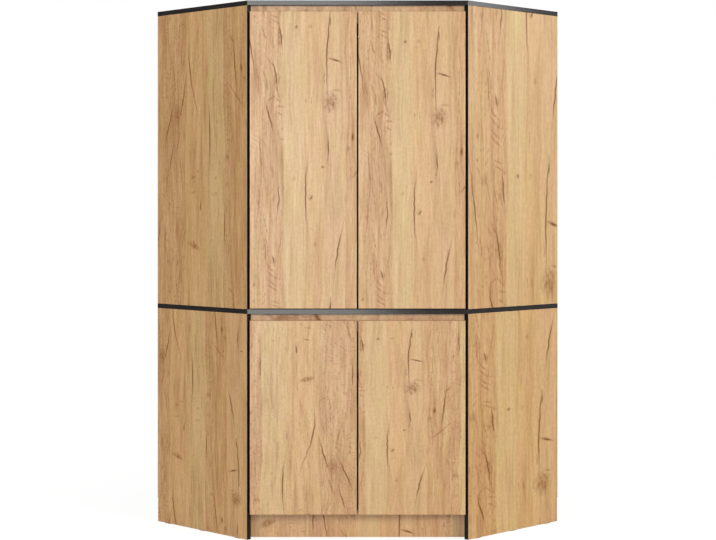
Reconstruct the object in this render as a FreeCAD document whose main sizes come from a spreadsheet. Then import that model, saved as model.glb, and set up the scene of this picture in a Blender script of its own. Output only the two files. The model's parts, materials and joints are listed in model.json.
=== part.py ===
import FreeCAD, Part
import math
import os
import re

import Sketcher
from FreeCAD import Placement, Rotation, Vector

# A five-sided corner wardrobe in two sections, with two pairs of doors across the
# corner. Millimetres, +Z up, the doors face -Y. The origin is on the floor under the
# middle of the outline. The room's corner is behind, and both walls run at 45 degrees.

SIZES = {
    # outline and boards
    "wall_leg": 1110,
    "side_depth": 532,
    "total_height": 2000,
    "board": 18,
    "back_thick": 3,
    "band_thick": 2,
    "edge_ease": 0.8,
    # levels
    "glide_height": 2,
    "lower_side_height": 836,
    "base_under": 94,
    "plinth_lift": 3,
    "plinth_recess": 48,
    "inner_setback": 13,
    "rail_height": 66,
    # doors
    "door_thick": 18,
    "door_proud": 11.5,
    "door_reveal": 10,
    "door_gap": 6,
    "grip_gap": 24,
    "upper_door_lift": 3,
    "base_show": 3,
    # corner posts, legs and shelf
    "post_width": 80,
    "shelf_level": 470,
    "shelf_setback": 90,
    "shelf_gap": 1,
    "angle_width": 20,
    "angle_leg": 22,
    "angle_thick": 2,
    "angle_front_inset": 170,
    "angle_back_inset": 60,
    "angle_post_inset": 20,
    # concealed hinges
    "hinge_inset": 110,
    "cup_centre": 22.5,
    "cup_radius": 17.4,
    "cup_depth": 12.2,
    "cup_wall": 0.9,
    "cup_floor": 0.7,
    "flange_thick": 1.2,
    "flange_half": 28,
    "flange_near": 6,
    "flange_far": 13,
    "ear_near": 2.5,
    "ear_far": 3,
    "ear_inner": 5.2,
    "ear_outer": 7.8,
    "ear_top": 5,
    "axis_in": 9.5,
    "axis_deep": 8.5,
    "hinge_pin_radius": 1.5,
    "eye_radius": 2.5,
    "neck_half": 4.8,
    "neck_thick": 3,
    "neck_reach": 16.5,
    "neck_rise": 12.5,
    "arm_off": 9,
    "arm_thick": 3.5,
    "arm_front": 18,
    "arm_back": 62,
    "saddle_front": 16,
    "saddle_half": 8,
    "saddle_thick": 5,
    "plate_front": 22,
    "plate_back": 60,
    "plate_half": 7.5,
    "wing_front": 31,
    "wing_back": 43,
    "wing_half": 25,
    "wing_thick": 2.5,
    # hanging rail
    "tube_radius": 12.5,
    "tube_wall": 1.2,
    "tube_length": 720,
    "tube_drop": 70,
    "tube_behind": 470,
    "cap_lip": 1.5,
    "cap_thick": 2,
    "cap_plug": 10,
    "hanger_inset": 60,
    "hanger_wall": 3.5,
    "hanger_width": 14,
    "hanger_plate_thick": 3,
    "hanger_plate_half": 24,
    # small pieces
    "glide_length": 34,
    "glide_width": 14,
    "glide_corner": 3,
    "glide_inset": 60,
    "bumper_radius": 5,
    "bumper_length": 6.2,
    "bumper_out": 30,
    "bumper_rise": 20,
    "bracket_width": 40,
    "bracket_leg": 40,
    "bracket_drop": 50,
    "bracket_thick": 2,
    "bracket_hole": 3,
    "bracket_hole_drop": 30,
    "plug_hole": 5,
    # clearances
    "fit": 0.1,
    "running_fit": 0.05,
    "overrun": 1,
}

# Places and lengths worked out from the sizes above. Depth is measured back from the
# front line, which joins the outer front corners of the two side boards.
DERIVED = {
    "reach": "(wall_leg + side_depth) / sqrt(2)",
    "corner_y": "(reach + door_proud) / 2",
    "front_y": "corner_y - reach",
    "half_front": "(wall_leg - side_depth) / sqrt(2)",
    "inner_face": "wall_leg - board",
    "middle_under": "glide_height + lower_side_height",
    "middle_top": "middle_under + board",
    "top_under": "total_height - board",
    "upper_side_height": "top_under - middle_top",
    "base_top": "base_under + board",
    "post_far": "back_thick + post_width",
    "post_inner": "back_thick + board",
    "door_width": "half_front - door_reveal - door_gap / 2",
    "door_back": "door_thick - door_proud",
    "upper_door_low": "middle_top + upper_door_lift",
    "upper_door_height": "top_under - grip_gap - upper_door_low",
    "lower_door_low": "base_under + base_show",
    "lower_door_height": "middle_under - grip_gap - lower_door_low",
    "hinge_x": "door_reveal - half_front",
    "hinge_y": "front_y + door_back",
    "axis_x": "hinge_x + axis_in",
    "axis_y": "hinge_y - axis_deep",
    "tube_level": "top_under - tube_drop",
    "tube_y": "front_y + tube_behind",
    "hanger_out": "tube_length / 2 - hanger_inset",
}

TINY = 1e-6
SKETCH_START = 100.0
WALL_TURN = -45.0
UP = Vector(0, 0, 1)
FRONT = Vector(0, -1, 0)
BACK = Vector(0, 1, 0)
RIGHT = Vector(1, 0, 0)
OFF_LEFT_WALL = Vector(1, -1, 0)

doc = FreeCAD.newDocument("corner_wardrobe")
sheet = doc.addObject("Spreadsheet::Sheet", "Sizes")
for row, (alias, value) in enumerate(SIZES.items(), start=1):
    sheet.set("A%d" % row, alias)
    sheet.set("B%d" % row, str(value))
    sheet.setAlias("B%d" % row, alias)
doc.recompute()

nodes = {}


def full(text):
    """Write a formula of size names as an expression on the sheet."""

    def swap(match):
        word = match.group(0)
        if word in DERIVED:
            return "(" + full(DERIVED[word]) + ")"
        return "Sizes." + word if word in SIZES else word

    return re.sub(r"[a-z][a-z_]*", swap, str(text))


def bind(thing, **formulas):
    for path, formula in formulas.items():
        thing.setExpression(path, full(formula))


def place(thing, where, turn=None):
    """Turn a thing, then bind its three coordinates to formulas."""
    thing.Placement = Placement(Vector(), turn or Rotation())
    for axis, formula in zip("xyz", where):
        thing.setExpression("Placement.Base." + axis, full(formula))


def corner(off_left, off_right, level):
    """A place given by its distances from the left wall, the right wall and the floor."""
    x = "((%s) - (%s)) / sqrt(2)" % (off_left, off_right)
    y = "corner_y - ((%s) + (%s)) / sqrt(2)" % (off_left, off_right)
    return (x, y, level)


def outline(body, points):
    """A closed sketch of straight lines on the body's XY plane, one formula per coordinate."""
    sketch = body.newObject("Sketcher::SketchObject", body.Name + "_outline")
    plane = [face for face in body.Origin.OriginFeatures if face.Role == "XY_Plane"][0]
    sketch.AttachmentSupport = [(plane, "")]
    sketch.MapMode = "FlatFace"
    count = len(points)
    step = 2 * math.pi / count
    ring = [Vector(math.cos(step * i), math.sin(step * i), 0) * SKETCH_START for i in range(count)]
    for i in range(count):
        sketch.addGeometry(Part.LineSegment(ring[i], ring[(i + 1) % count]), False)
    for i in range(count):
        sketch.addConstraint(Sketcher.Constraint("Coincident", i, 2, (i + 1) % count, 1))
    for i, (x, y) in enumerate(points):
        for kind, start, formula in (("DistanceX", ring[i].x, x), ("DistanceY", ring[i].y, y)):
            number = sketch.addConstraint(Sketcher.Constraint(kind, -1, 1, i, 1, start))
            sketch.setExpression("Constraints[%d]" % number, full(formula))
    return sketch


def prism(name, points, height, where, turn=None):
    """A body padded up from an outline."""
    body = doc.addObject("PartDesign::Body", name)
    sketch = outline(body, points)
    pad = body.newObject("PartDesign::Pad", name + "_pad")
    pad.Profile = sketch
    bind(pad, Length=height)
    place(body, where, turn)
    return body


def wall_prism(name, points, low, height):
    """A prism whose points are distances from the left and the right wall."""
    turned = [(x, "-(%s)" % y) for x, y in points]
    return prism(name, turned, height, corner("0", "0", low), Rotation(UP, WALL_TURN))


def wall_block(name, off_left, off_right, low, height):
    """A square-cut board that stands between two distances from each wall."""
    (near, far), (low_side, high_side) = off_left, off_right
    points = [(near, low_side), (near, high_side), (far, high_side), (far, low_side)]
    return wall_prism(name, points, low, height)


def soften(body, chosen):
    """Ease the chosen edges of a board."""
    doc.recompute()
    pad = body.Tip
    box = pad.Shape.BoundBox
    names = ["Edge%d" % (i + 1) for i, edge in enumerate(pad.Shape.Edges) if chosen(edge, box)]
    ease = body.newObject("PartDesign::Chamfer", body.Name + "_ease")
    ease.Base = (pad, names)
    bind(ease, Size="edge_ease")


def level_edge(edge, box):
    ends = [vertex.Z for vertex in edge.Vertexes]
    return max(ends) - min(ends) < TINY


def banded_edge(edge, box):
    """A level edge on the front or on a side, away from the walls."""
    far = [vertex for vertex in edge.Vertexes if vertex.X < TINY or vertex.Y > -TINY]
    return level_edge(edge, box) and len(far) < len(edge.Vertexes)


def front_edge(edge, box):
    return all(abs(vertex.Y - box.YMin) < TINY for vertex in edge.Vertexes)


def end_edge(edge, box):
    return all(abs(vertex.X - box.XMax) < TINY for vertex in edge.Vertexes) and not level_edge(edge, box)


def rod(name, where, toward, radius, length):
    thing = doc.addObject("Part::Cylinder", name)
    bind(thing, Radius=radius, Height=length)
    place(thing, where, Rotation(UP, toward))
    return thing


def block(name, where, size, turn=None):
    thing = doc.addObject("Part::Box", name)
    bind(thing, Length=size[0], Width=size[1], Height=size[2])
    place(thing, where, turn)
    return thing


def fuse(name, things):
    thing = doc.addObject("Part::MultiFuse", name)
    thing.Shapes = things
    return thing


def cut(name, base, tool):
    thing = doc.addObject("Part::Cut", name)
    thing.Base = base
    thing.Tool = tool
    return thing


def mirror(name, source):
    """The same piece on the other side of the wardrobe."""
    thing = doc.addObject("Part::Mirroring", name)
    thing.Source = source
    thing.Normal = RIGHT
    return thing


def group(name, things):
    thing = doc.addObject("Part::Compound", name)
    thing.Links = things
    return thing


def node(name, thing):
    thing.Label = name
    nodes[name] = thing
    return thing


side_mid = "wall_leg - board / 2"

# Boards at the walls: sides, black bands on their front ends, and thin backs.
sections = (("lower", "glide_height", "lower_side_height", "base_under"),
            ("upper", "middle_top", "upper_side_height", "middle_top"))
bands = []
for section, low, height, back_low in sections:
    left = node(section + "_left_side", wall_block(
        section + "_left_side", ("back_thick", "side_depth - band_thick"), ("inner_face", "wall_leg"),
        low, height))
    node(section + "_right_side", mirror(section + "_right_side", left))
    band = wall_block(section + "_band", ("side_depth - band_thick", "side_depth"),
                      ("inner_face", "wall_leg"), low, height)
    soften(band, end_edge)
    bands += [band, mirror(section + "_band_right", band)]
    sheet_height = "%s + %s - (%s)" % (low, height, back_low)
    left = node(section + "_left_back", wall_block(
        section + "_left_back", ("0", "back_thick"), ("back_thick", "wall_leg"),
        back_low, sheet_height))
    if section == "lower":
        node("lower_right_back", mirror("lower_right_back", left))
node("side_edge_bands", group("side_edge_bands", bands))

# The upper backs are bored for the plugs of the wall screws.
anchor = corner("-overrun", "wall_leg / 2", "top_under - bracket_hole_drop")
bored = cut("upper_left_back_bored", nodes["upper_left_back"],
            rod("anchor_hole", anchor, OFF_LEFT_WALL, "plug_hole", "back_thick + 2 * overrun"))
nodes["upper_left_back"].Label = "upper_left_back_sheet"
node("upper_left_back", bored)
node("upper_right_back", mirror("upper_right_back", bored))

# Corner posts: two boards butted into an angle.
post_boards = {
    "left": (("back_thick", "post_inner"), ("back_thick", "post_far")),
    "right": (("post_inner", "post_far"), ("back_thick", "post_inner")),
}
post_mid = "(post_inner + post_far) / 2"
board_mid = "back_thick + board / 2"
for hand, (off_left, off_right) in post_boards.items():
    for section, low, top in (("lower", "base_top", "middle_under"), ("upper", "middle_top", "top_under")):
        name = "%s_%s_post" % (section, hand)
        node(name, wall_block(name, off_left, off_right, low, "%s - (%s)" % (top, low)))
node("corner_legs", group("corner_legs", [
    wall_block("corner_leg_" + hand, off_left, off_right, "glide_height", "base_under - glide_height")
    for hand, (off_left, off_right) in post_boards.items()]))

# Five-sided boards. The black ones run out to the full outline.
full_outline = [("0", "0"), ("0", "wall_leg"), ("side_depth", "wall_leg"),
                ("wall_leg", "side_depth"), ("wall_leg", "0")]


def inner_outline(gap, setback):
    near = "back_thick + %s" % gap
    far = "inner_face - %s" % gap
    front = "side_depth + board + %s - sqrt(2) * %s" % (gap, setback)
    return near, far, front


near, far, front = inner_outline("0", "inner_setback")
node("base_panel", wall_prism(
    "base_panel", [(near, near), (near, far), (front, far), (far, front), (far, near)], "base_under", "board"))
for name, low in (("middle_panel", "middle_under"), ("top_panel", "top_under")):
    panel = node(name, wall_prism(name, full_outline, low, "board"))
    soften(panel, banded_edge)

# The shelf is notched round the corner post.
near, far, front = inner_outline("shelf_gap", "shelf_setback")
clear_far = "post_far + shelf_gap"
clear_in = "post_inner + shelf_gap"
shelf_points = [(near, far), (front, far), (far, front), (far, near), (clear_far, near),
                (clear_far, clear_in), (clear_in, clear_in), (clear_in, clear_far), (near, clear_far)]
node("lower_shelf", wall_prism("lower_shelf", shelf_points, "shelf_level", "board"))


def front_board(name, depth, low, height):
    """A board behind the front line, with its ends cut to the side boards."""
    half = "half_front - sqrt(2) * board + (%s)"
    back = "%s + board" % depth
    points = [("-(%s)" % half % depth, depth), (half % depth, depth),
              (half % back, back), ("-(%s)" % half % back, back)]
    return prism(name, points, height, ("0", "front_y", low))


for name, depth, low, height in (
        ("lower_front_rail", "inner_setback", "middle_under - rail_height", "rail_height"),
        ("upper_front_rail", "inner_setback", "top_under - rail_height", "rail_height"),
        ("plinth_board", "plinth_recess", "plinth_lift", "base_under - plinth_lift")):
    node(name, front_board(name, depth, low, height))


def angle(name, leg, arm, top, drop, thick):
    """An angle bracket: a leg against a standing board and an arm under the board above."""
    return fuse(name, [wall_block(name + "_leg", leg[0], leg[1], "%s - %s" % (top, drop), drop),
                       wall_block(name + "_arm", arm[0], arm[1], "%s - %s" % (top, thick), thick)])


def width_about(middle, width):
    return ("%s - %s / 2" % (middle, width), "%s + %s / 2" % (middle, width))


# Angle brackets carry the shelf on the side boards and on the corner post.
side_leg = ("inner_face - angle_thick", "inner_face")
side_arm = ("inner_face - angle_leg", "inner_face")
post_leg = ("post_inner", "post_inner + angle_thick")
post_arm = ("post_inner", "post_inner + angle_leg")
shelf_brackets = []
for spot, middle in (("back", "angle_back_inset"), ("front", "side_depth - angle_front_inset")):
    along = width_about(middle, "angle_width")
    shelf_brackets.append(angle("shelf_bracket_" + spot, (along, side_leg), (along, side_arm),
                                "shelf_level", "angle_leg", "angle_thick"))
along = width_about("post_far - angle_post_inset", "angle_width")
shelf_brackets.append(angle("shelf_bracket_post", (post_leg, along), (post_arm, along),
                            "shelf_level", "angle_leg", "angle_thick"))
left = group("left_shelf_brackets", shelf_brackets)
node("shelf_brackets", group("shelf_brackets", [left, mirror("right_shelf_brackets", left)]))

# Doors and the parts of the hinges. A cup sits in the door, with two ears that hold an
# upright pin in their square-pierced holes. The arm reaches into the cup with a hooked
# neck, whose eye turns on the pin, and lies on a plate on the side board, at 45 degrees
# to the door.


def hinge_spot(across, deep, level):
    """A place measured from the door's outer edge and its back face."""
    return ("hinge_x + (%s)" % across, "hinge_y + (%s)" % deep, level)


def hinge_cup(name, level):
    body = doc.addObject("PartDesign::Body", name)
    inner = "cup_radius - cup_wall"
    deep = "cup_depth - cup_floor"
    profile = [("0", "-cup_depth"), ("cup_radius", "-cup_depth"), ("cup_radius", "flange_thick"),
               (inner, "flange_thick"), (inner, "-(%s)" % deep), ("0", "-(%s)" % deep)]
    sketch = outline(body, profile)
    turned = body.newObject("PartDesign::Revolution", name + "_turned")
    turned.Profile = sketch
    turned.ReferenceAxis = (sketch, ["V_Axis"])
    place(body, hinge_spot("cup_centre", "0", level))
    wing = block(name + "_wing", hinge_spot("cup_centre - flange_near", "0", "%s - flange_half" % level),
                 ("flange_near + flange_far", "flange_thick", "2 * flange_half"))
    mouth = rod(name + "_mouth", hinge_spot("cup_centre", "-overrun", level), BACK,
                inner, "flange_thick + 2 * overrun")
    pieces = [body, cut(name + "_flange", wing, mouth)]
    for side, low in (("low", "-ear_outer"), ("high", "ear_inner")):
        pieces.append(block(
            name + "_ear_" + side, hinge_spot("axis_in - ear_near", "-cup_depth + cup_floor / 2",
                                              "%s + (%s)" % (level, low)),
            ("ear_near + ear_far", "cup_depth - cup_floor / 2 - ear_top", "ear_outer - ear_inner")))
    side = "2 * (hinge_pin_radius + fit)"
    start = hinge_spot("axis_in - (%s) / 2" % side, "-axis_deep - (%s) / 2" % side,
                       "%s - ear_outer - overrun" % level)
    pierced = block(name + "_pierced", start, (side, side, "2 * (ear_outer + overrun)"))
    pin = rod(name + "_pin", hinge_spot("axis_in", "-axis_deep", "%s - ear_outer" % level),
              UP, "hinge_pin_radius", "2 * ear_outer")
    return cut(name + "_cup", fuse(name + "_solid", pieces), pierced), pin


def hinge_arm(name, level):
    half = "neck_thick / 2"
    low = "%s - neck_half" % level
    inner = "neck_reach - neck_thick"
    flat = "eye_radius * (sqrt(2) - 1)"
    root = "eye_radius + %s - %s" % (flat, half)
    eye = [(flat, "eye_radius"), ("-(%s)" % flat, "eye_radius"), ("-eye_radius", flat),
           ("-eye_radius", "-(%s)" % flat), ("-(%s)" % flat, "-eye_radius"), (flat, "-eye_radius")]
    hook = [(root, "-(%s)" % half), ("neck_reach", "-(%s)" % half), ("neck_reach", "neck_rise"),
            (inner, "neck_rise"), (inner, half), (root, half)]
    neck = prism(name + "_neck", hook + eye, "2 * neck_half", ("axis_x", "axis_y", low))
    bar = wall_block(name + "_bar", ("side_depth - arm_back", "side_depth + arm_front"),
                     ("inner_face - arm_off - arm_thick", "inner_face - arm_off"), low, "2 * neck_half")
    saddle = wall_block(name + "_saddle", ("side_depth - arm_back", "side_depth - saddle_front"),
                        ("inner_face - arm_off - saddle_thick", "inner_face - arm_off"),
                        "%s - saddle_half" % level, "2 * saddle_half")
    bore = rod(name + "_bore", ("axis_x", "axis_y", "%s - overrun" % low), UP,
               "hinge_pin_radius + running_fit", "2 * neck_half + 2 * overrun")
    return cut(name, fuse(name + "_solid", [neck, bar, saddle]), bore)


def hinge_plate(name, level):
    base = wall_block(name + "_base", ("side_depth - plate_back", "side_depth - plate_front"),
                      ("inner_face - arm_off", "inner_face"), "%s - plate_half" % level, "2 * plate_half")
    wing = wall_block(name + "_wing", ("side_depth - wing_back", "side_depth - wing_front"),
                      ("inner_face - wing_thick", "inner_face"), "%s - wing_half" % level, "2 * wing_half")
    return fuse(name, [base, wing])


hinge_levels = {
    "lower": ["lower_door_low + hinge_inset", "lower_door_low + lower_door_height - hinge_inset"],
    "upper": ["upper_door_low + hinge_inset", "upper_door_low + upper_door_height / 2",
              "upper_door_low + upper_door_height - hinge_inset"],
}
arms = []
plates = []
for section, levels in hinge_levels.items():
    low = section + "_door_low"
    rectangle = [("0", "-door_thick"), ("door_width", "-door_thick"), ("door_width", "0"), ("0", "0")]
    slab = prism(section + "_slab", rectangle, section + "_door_height", ("hinge_x", "hinge_y", low))
    soften(slab, front_edge)
    cups = []
    pins = []
    sockets = []
    for i, level in enumerate(levels, start=1):
        cup, pin = hinge_cup("%s_cup_%d" % (section, i), level)
        cups.append(cup)
        pins.append(pin)
        sockets.append(rod("%s_socket_%d" % (section, i), hinge_spot("cup_centre", "overrun", level),
                           FRONT, "cup_radius + fit", "cup_depth + fit + overrun"))
        arms.append(hinge_arm("%s_arm_%d" % (section, i), level))
        plates.append(hinge_plate("%s_plate_%d" % (section, i), level))
    left_door = node(section + "_left_door", cut(section + "_door_bored", slab,
                                                 fuse(section + "_sockets", sockets)))
    left_cups = node(section + "_left_hinge_cups", group(section + "_left_cups", cups))
    left_pins = node(section + "_left_hinge_pins", group(section + "_left_pins", pins))
    for kind, source in (("door", left_door), ("hinge_cups", left_cups), ("hinge_pins", left_pins)):
        right = "%s_right_%s" % (section, kind)
        node(right, mirror(right, source))
for name, made in (("hinge_arms", arms), ("hinge_plates", plates)):
    left = group("left_" + name, made)
    node(name, group(name, [left, mirror("right_" + name, left)]))

# Hanging rail: a tube in two rings that hang from the top panel.
half_tube = "tube_length / 2"
tube = rod("tube_outer", ("-(%s)" % half_tube, "tube_y", "tube_level"), RIGHT, "tube_radius", "tube_length")
bore = rod("tube_bore", ("-(%s) - overrun" % half_tube, "tube_y", "tube_level"), RIGHT,
           "tube_radius - tube_wall", "tube_length + 2 * overrun")
node("hanging_rail", cut("hanging_rail", tube, bore))
lip = rod("cap_lip", ("-(%s) - cap_thick" % half_tube, "tube_y", "tube_level"), RIGHT,
          "tube_radius + cap_lip", "cap_thick")
plug = rod("cap_plug", ("-(%s) - cap_thick" % half_tube, "tube_y", "tube_level"), RIGHT,
           "tube_radius - tube_wall - fit", "cap_thick + cap_plug")
cap = fuse("left_end_cap", [lip, plug])
node("rail_end_caps", group("rail_end_caps", [cap, mirror("right_end_cap", cap)]))
ring_start = "-hanger_out - hanger_width / 2"
ring_radius = "tube_radius + fit + hanger_wall"
ring = rod("hanger_ring", (ring_start, "tube_y", "tube_level"), RIGHT, ring_radius, "hanger_width")
stem = block("hanger_stem", (ring_start, "tube_y - (%s)" % ring_radius, "tube_level"),
             ("hanger_width", "2 * (%s)" % ring_radius, "tube_drop - hanger_plate_thick / 2"))
foot = block("hanger_foot", ("-hanger_out - hanger_plate_half", "tube_y - hanger_plate_half",
                             "top_under - hanger_plate_thick"),
             ("2 * hanger_plate_half", "2 * hanger_plate_half", "hanger_plate_thick"))
ring_bore = rod("hanger_bore", (ring_start + " - overrun", "tube_y", "tube_level"), RIGHT,
                "tube_radius + fit", "hanger_width + 2 * overrun")
window_half = "tube_radius + fit"
window = block("hanger_window", (ring_start + " - overrun", "tube_y - (%s)" % window_half, "tube_level"),
               ("hanger_width + 2 * overrun", "2 * (%s)" % window_half,
                "tube_drop - hanger_plate_thick - hanger_wall"))
hanger = cut("left_hanger", fuse("hanger_solid", [ring, stem, foot]),
             fuse("hanger_opening", [ring_bore, window]))
node("rail_hangers", group("rail_hangers", [hanger, mirror("right_hanger", hanger)]))

# Floor glides: flat pads with cut corners under the side boards and the corner legs.


def glide(name, off_left, off_right, turned=False):
    """A pad whose long side follows its board."""
    long_way = ("glide_length / 2", "glide_length / 2 - glide_corner")
    short_way = ("glide_width / 2", "glide_width / 2 - glide_corner")
    (end, end_cut), (side, side_cut) = (short_way, long_way) if turned else (long_way, short_way)
    steps = [(end, side_cut), (end_cut, side), ("-(%s)" % end_cut, side), ("-(%s)" % end, side_cut)]
    ring = steps + [("-(%s)" % x, "-(%s)" % y) for x, y in steps]
    points = [("%s + %s" % (off_left, x), "%s + %s" % (off_right, y)) for x, y in ring]
    return wall_prism(name, points, "0", "glide_height")


glides = []
for along in ("glide_inset", "side_depth / 2", "side_depth - glide_inset"):
    pad = glide("glide", along, side_mid)
    glides += [pad, mirror("glide_right", pad)]
glides.append(glide("leg_glide_left", board_mid, post_mid, turned=True))
glides.append(glide("leg_glide_right", post_mid, board_mid))
node("floor_glides", group("floor_glides", glides))

# Door bumpers on the rails.
bumpers = []
for above in ("top_under", "middle_under"):
    bumper = rod("bumper", ("-bumper_out", "front_y + inner_setback", "%s - rail_height + bumper_rise" % above),
                 FRONT, "bumper_radius", "bumper_length")
    bumpers += [bumper, mirror("bumper_right", bumper)]
node("door_bumpers", group("door_bumpers", bumpers))

# Wall brackets under the top panel, one at each wall.
wall_mid = "wall_leg / 2"
bracket_side = width_about(wall_mid, "bracket_width")
bracket_leg = ("back_thick", "back_thick + bracket_thick")
bracket_arm = ("back_thick", "back_thick + bracket_leg")
bracket_solid = angle("bracket_solid", (bracket_leg, bracket_side), (bracket_arm, bracket_side),
                      "top_under", "bracket_drop", "bracket_thick")
bracket_bore = rod("bracket_bore", corner("back_thick - overrun", wall_mid, "top_under - bracket_hole_drop"),
                   OFF_LEFT_WALL, "bracket_hole", "bracket_thick + 2 * overrun")
bracket = cut("left_bracket", bracket_solid, bracket_bore)
node("wall_brackets", group("wall_brackets", [bracket, mirror("right_bracket", bracket)]))

doc.recompute()
for thing in doc.Objects:
    if "Invalid" in thing.State or "Error" in thing.State:
        raise RuntimeError("%s could not be built" % thing.Label)
for name, thing in nodes.items():
    if thing.Shape.isNull() or not thing.Shape.isValid() or not thing.Shape.Solids:
        raise RuntimeError("%s has no valid shape" % name)

os.makedirs("parts", exist_ok=True)
for name, thing in nodes.items():
    thing.Shape.exportStep("parts/%s.step" % name)
print("%d nodes, %d solids" % (len(nodes), sum(len(thing.Shape.Solids) for thing in nodes.values())))
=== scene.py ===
"""Looks of a five-sided corner wardrobe: oak decor boards, black panels and plated fittings."""

import json
import math
from typing import NamedTuple

import bmesh
import bpy
from bpy.props import FloatProperty, FloatVectorProperty, IntProperty, PointerProperty
from mathutils import Matrix, Vector


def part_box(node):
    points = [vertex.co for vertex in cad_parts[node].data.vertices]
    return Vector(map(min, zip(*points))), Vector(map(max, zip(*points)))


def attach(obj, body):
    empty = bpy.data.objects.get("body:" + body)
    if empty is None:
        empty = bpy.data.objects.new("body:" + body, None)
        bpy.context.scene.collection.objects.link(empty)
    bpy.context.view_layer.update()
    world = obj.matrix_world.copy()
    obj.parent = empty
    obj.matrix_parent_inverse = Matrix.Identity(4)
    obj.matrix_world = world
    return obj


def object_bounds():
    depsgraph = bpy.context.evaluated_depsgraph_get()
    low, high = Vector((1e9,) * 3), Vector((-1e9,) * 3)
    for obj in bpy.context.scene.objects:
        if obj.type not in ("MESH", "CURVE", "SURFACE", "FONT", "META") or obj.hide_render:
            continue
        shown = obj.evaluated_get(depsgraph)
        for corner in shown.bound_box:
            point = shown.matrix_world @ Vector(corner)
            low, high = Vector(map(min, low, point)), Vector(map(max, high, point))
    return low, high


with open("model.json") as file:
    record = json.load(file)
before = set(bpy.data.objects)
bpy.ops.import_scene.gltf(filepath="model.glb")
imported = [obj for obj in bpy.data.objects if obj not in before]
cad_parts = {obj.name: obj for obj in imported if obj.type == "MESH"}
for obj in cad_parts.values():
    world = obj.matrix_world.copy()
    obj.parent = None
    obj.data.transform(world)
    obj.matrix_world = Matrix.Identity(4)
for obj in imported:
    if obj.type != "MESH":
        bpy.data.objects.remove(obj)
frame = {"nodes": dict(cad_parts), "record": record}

bl_info = {
    "name": "Corner Wardrobe Finishes",
    "version": (1, 0, 0),
    "blender": (4, 5, 0),
    "location": "View3D > Sidebar > Wardrobe",
    "description": "Dresses a corner wardrobe in oak decor, black panels and plated fittings",
    "category": "Object",
}

MM = 0.001
CAD_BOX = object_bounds()

COMBINE = "ShaderNodeCombineXYZ"
COORDS = "ShaderNodeTexCoord"
MATH = "ShaderNodeMath"
MIX = "ShaderNodeMix"
NOISE = "ShaderNodeTexNoise"
RANGE = "ShaderNodeMapRange"
SEPARATE = "ShaderNodeSeparateXYZ"
VECTOR = "ShaderNodeVectorMath"

# One noise runs from about 0.3 to 0.7, and two added together from about 0.6 to 1.4.
NOISE_MIDDLE = 0.5
ONE_NOISE = {"From Min": 0.3, "From Max": 0.7}
TWO_NOISES = {"From Min": 0.6, "From Max": 1.4}


def linear(code):
    """A colour written as sRGB hex, as linear red, green and blue."""
    shares = [int(code[i:i + 2], 16) / 255 for i in (1, 3, 5)]
    return [s / 12.92 if s <= 0.04045 else ((s + 0.055) / 1.055) ** 2.4 for s in shares]


def add(tree, kind, inputs=None, **settings):
    """Add a node, set it up, and give each input a value or a link."""
    node = tree.nodes.new(kind)
    for name, value in settings.items():
        setattr(node, name, value)
    for name, value in (inputs or {}).items():
        if isinstance(value, bpy.types.Node):
            value = value.outputs[0]
        if isinstance(value, bpy.types.NodeSocket):
            tree.links.new(value, node.inputs[name])
        else:
            node.inputs[name].default_value = value
    return node


def bare_material(name):
    """A new material without nodes, and its tree."""
    material = bpy.data.materials.new(name)
    material.use_nodes = True
    material.node_tree.nodes.clear()
    return material, material.node_tree


def node_group(name, inputs, outputs):
    """An empty node group with its sockets."""
    tree = bpy.data.node_groups.new(name, "ShaderNodeTree")
    for way, sockets in (("INPUT", inputs), ("OUTPUT", outputs)):
        for title, kind in sockets.items():
            tree.interface.new_socket(title, in_out=way, socket_type="NodeSocket" + kind)
    return tree


def shade(name, inputs, tree_maker):
    """A material whose Principled shader takes plain values and the links that tree_maker returns."""
    material, tree = bare_material(name)
    links = tree_maker(tree)
    shader = add(tree, "ShaderNodeBsdfPrincipled", {**inputs, **links})
    add(tree, "ShaderNodeOutputMaterial", {"Surface": shader})
    return material


def mesh_of(name, made):
    """A mesh from a finished bmesh, which is freed."""
    mesh = bpy.data.meshes.new(name)
    made.to_mesh(mesh)
    made.free()
    return mesh


def placed(name, data):
    """A new object of the scene."""
    thing = bpy.data.objects.new(name, data)
    bpy.context.scene.collection.objects.link(thing)
    return thing


def dress(node, material):
    """Give a CAD node one material."""
    slots = frame["nodes"][node].data.materials
    slots.clear()
    slots.append(material)


def nodes_of(slot):
    """The CAD nodes that the record gives a material slot."""
    return [row["node"] for row in frame["record"]["subparts"] if row["material_slot"] == slot]


def colour(title, about, code):
    """A colour that a user can set."""
    return FloatVectorProperty(name=title, description=about, subtype="COLOR", size=3, min=0, max=1,
                               default=linear(code))


def length(title, about, millimetres):
    """A length that a user can set."""
    return FloatProperty(name=title, description=about, default=millimetres * MM, unit="LENGTH", precision=4)


def share(title, about, value, top=1.0):
    """A plain number that a user can set."""
    return FloatProperty(name=title, description=about, default=value, min=0, max=top)


def watts(title, about, value):
    """The power of a lamp, which a user can set."""
    return FloatProperty(name=title, description=about, default=value, unit="POWER")


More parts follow.
